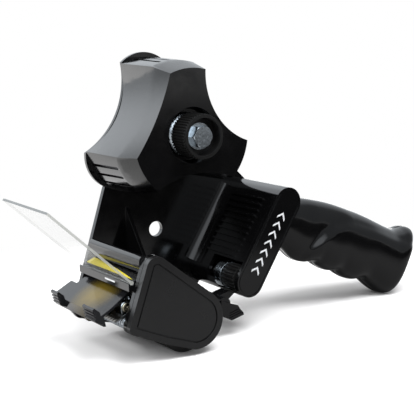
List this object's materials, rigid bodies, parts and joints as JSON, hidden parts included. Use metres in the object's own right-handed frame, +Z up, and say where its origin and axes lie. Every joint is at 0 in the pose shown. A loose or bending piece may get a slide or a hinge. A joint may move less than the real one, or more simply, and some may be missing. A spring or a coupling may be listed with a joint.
{
  "type": "tape gun dispenser",
  "caption": "Hand-held pistol grip dispenser for packing tape, with a lobed roll hub, rubber applicator roller, guarded blade and clear flap.",
  "frame": {"origin": "bottom centre of the whole tool's box, on the table it stands on", "axes": "+Z up, +X towards the handle, -X towards the blade, -Y the open side that the tape roll goes on"},
  "size_m": [0.2534, 0.066, 0.1509],
  "materials": {
    "black_plastic": "glossy moulded ABS",
    "black_knob": "semi-gloss moulded nylon",
    "satin_panel": "satin moulded ABS with an inset panel",
    "zinc_steel": "bright zinc plate",
    "steel_pin": "ground bar",
    "spring_steel": "zinc plated wire",
    "blade_steel": "cold rolled strip",
    "rubber": "smooth black rubber",
    "core_plastic": "moulded",
    "bush_plastic": "natural acetal",
    "brass": "turned",
    "felt": "pressed felt",
    "clear_plastic": "clear polycarbonate sheet",
    "yellow_label": "printed vinyl, plain"
  },
  "bodies": {
    "frame": {"side_frame": "black_plastic", "hub_spindle": "black_plastic", "nose_housing": "black_plastic", "nose_cover": "satin_panel", "cover_screws": "zinc_steel", "roller_axle": "steel_pin", "rear_body": "black_plastic", "body_cap": "black_plastic", "body_screws": "zinc_steel", "guide_pin": "steel_pin", "guide_spacer": "zinc_steel", "handle_near_shell": "black_plastic", "handle_far_shell": "black_plastic", "handle_screws": "zinc_steel", "blade": "blade_steel", "blade_bracket": "blade_steel", "blade_screws": "zinc_steel", "flap_bar": "black_plastic", "warning_label": "yellow_label", "guard_shaft": "steel_pin", "guard_spring": "spring_steel", "clamp_eyelet": "brass", "blade_clamp": "zinc_steel", "lever_pin": "steel_pin", "lever_spring": "spring_steel", "hub_nut": "zinc_steel"},
    "hub": {"hub": "black_plastic", "felt_disc": "felt"},
    "knob": {"tension_knob": "black_knob", "bolt_washer": "zinc_steel", "hub_bolt": "zinc_steel", "friction_washer": "zinc_steel", "tension_spring": "spring_steel"},
    "roller": {"roller_tyre": "rubber", "roller_core": "core_plastic", "roller_bushes": "bush_plastic"},
    "guide": {"guide_roller": "black_knob"},
    "guard": {"blade_guard": "black_plastic"},
    "flap": {"clear_flap": "clear_plastic"},
    "brake": {"brake_lever": "black_plastic", "brake_pad": "rubber"}
  },
  "joints": [
    {"name": "hub_spin", "type": "hinge", "parent": "frame", "child": "hub", "pos_m": [-0.04302, 0.0025, 0.11019], "axis": [0, 1, 0], "continuous": true},
    {"name": "tension_knob_turn", "type": "hinge", "parent": "frame", "child": "knob", "pos_m": [-0.04302, -0.0225, 0.11019], "axis": [0, 1, 0], "range_deg": [-180, 180]},
    {"name": "roller_spin", "type": "hinge", "parent": "frame", "child": "roller", "pos_m": [-0.05232, 0.0025, 0.01384], "axis": [0, 1, 0], "continuous": true},
    {"name": "guide_roller_spin", "type": "hinge", "parent": "frame", "child": "guide", "pos_m": [-0.01022, 0.0025, 0.03009], "axis": [0, 1, 0], "continuous": true},
    {"name": "blade_guard_lift", "type": "hinge", "parent": "frame", "child": "guard", "pos_m": [-0.08502, 0.0025, 0.02089], "axis": [0, 1, 0], "range_deg": [0, 15], "stiffness_Nm_per_rad": 0.06, "springref_deg": -17.19},
    {"name": "flap_swing", "type": "hinge", "parent": "frame", "child": "flap", "pos_m": [-0.08362, 0.0025, 0.04159], "axis": [0, 1, 0], "range_deg": [-12, 15], "stiffness_Nm_per_rad": 0.15},
    {"name": "brake_lever_pull", "type": "hinge", "parent": "frame", "child": "brake", "pos_m": [-0.02302, 0.0025, 0.01809], "axis": [0, 1, 0], "range_deg": [-6, 0], "stiffness_Nm_per_rad": 0.05, "springref_deg": 11.46}
  ]
}
